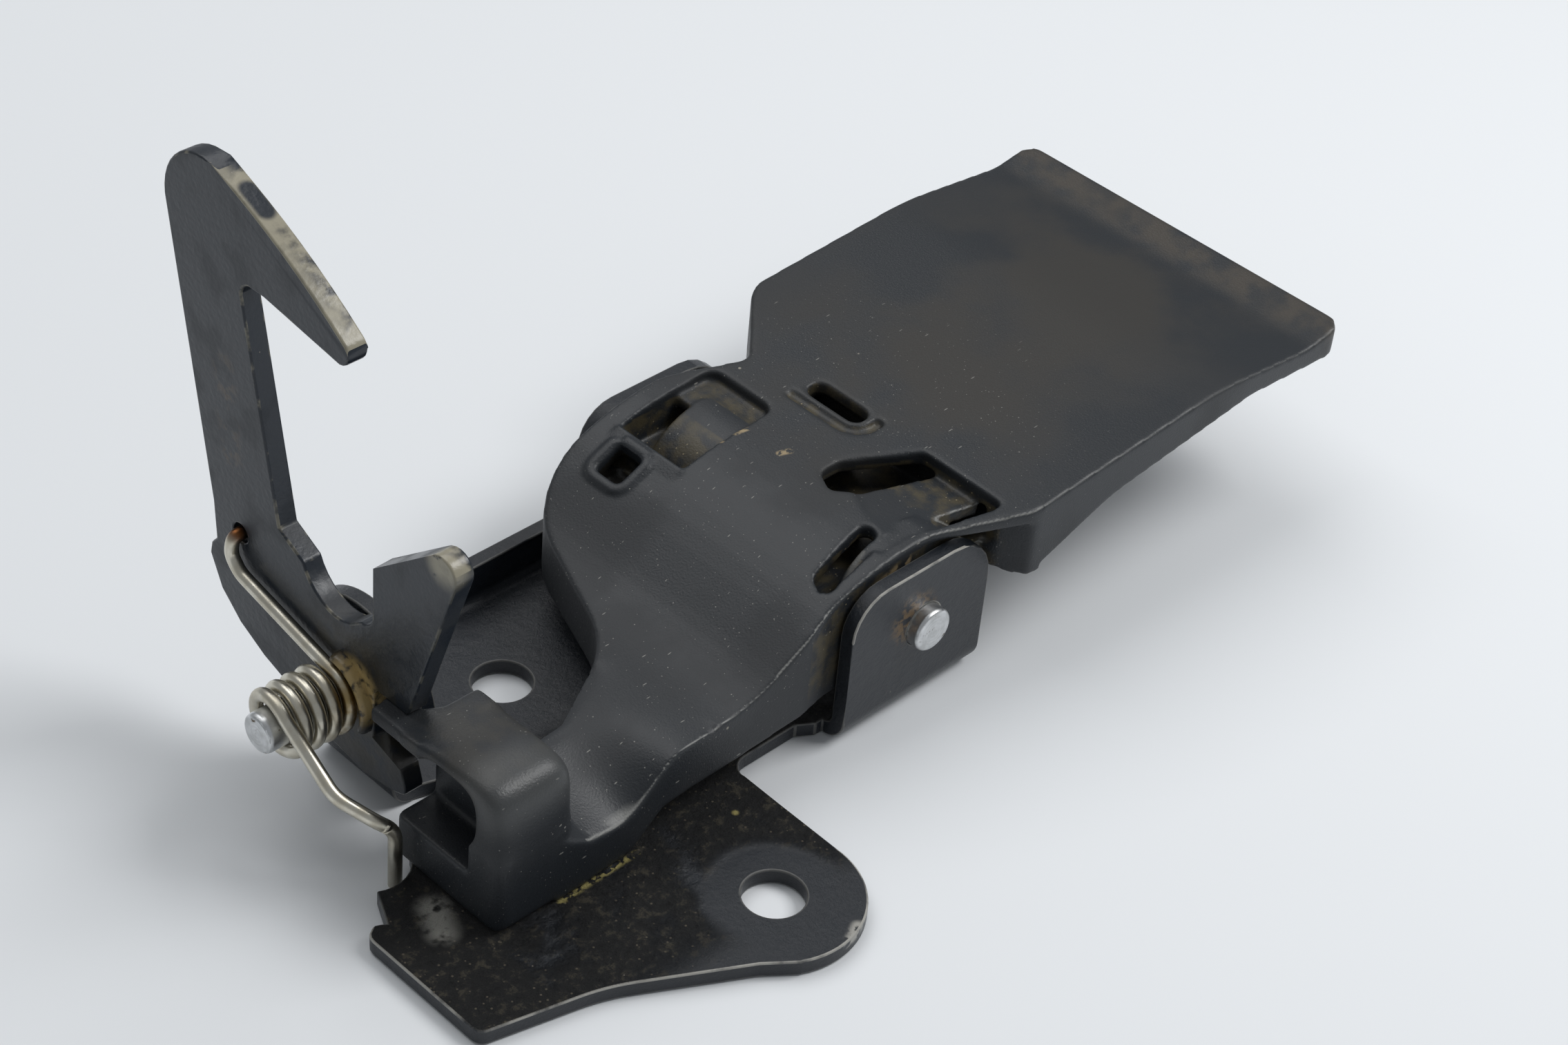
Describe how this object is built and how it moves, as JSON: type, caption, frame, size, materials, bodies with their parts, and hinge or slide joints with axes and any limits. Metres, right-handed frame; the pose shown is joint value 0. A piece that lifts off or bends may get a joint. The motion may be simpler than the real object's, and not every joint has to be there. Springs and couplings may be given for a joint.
{
  "type": "hood latch",
  "caption": "Hood latch release: bent steel bracket, pivoting moulded lever with a broad paddle, and a sprung safety hook that the lever's nose swings aside to free the striker.",
  "frame": {"origin": "midway between the two mounting holes, on the bracket's mounting face", "axes": "+X runs from the nose and hook to the paddle, +Y from the near mounting hole to the far one, +Z rises from the mounting face"},
  "size_m": [0.1805, 0.102, 0.0909],
  "materials": {
    "coated_steel": "satin",
    "moulded_plastic": "matte",
    "zinc_pin": "satin",
    "black_paint": "satin",
    "spring_wire": "satin"
  },
  "bodies": {
    "base_body": {"base_plate": "coated_steel", "lever_pin": "zinc_pin", "hook_pin": "zinc_pin", "torsion_spring": "spring_wire"},
    "lever_body": {"lever": "moulded_plastic"},
    "hook_body": {"hook": "black_paint"}
  },
  "joints": [
    {"name": "lever_tilt", "type": "hinge", "parent": "base_body", "child": "lever_body", "pos_m": [0.045, 0.0176, 0.015], "axis": [0, 1, 0], "range_deg": [0, 3.57]},
    {"name": "hook_swing", "type": "hinge", "parent": "base_body", "child": "hook_body", "pos_m": [-0.031, 0.026, 0.0197], "axis": [-1, 0, 0], "range_deg": [0, 25], "stiffness_Nm_per_rad": 0.25, "springref_deg": -51.57, "deforming": ["torsion_spring"]}
  ],
  "couplings": [
    {"joint": "hook_swing", "follows": "lever_tilt", "ratio": 7}
  ]
}
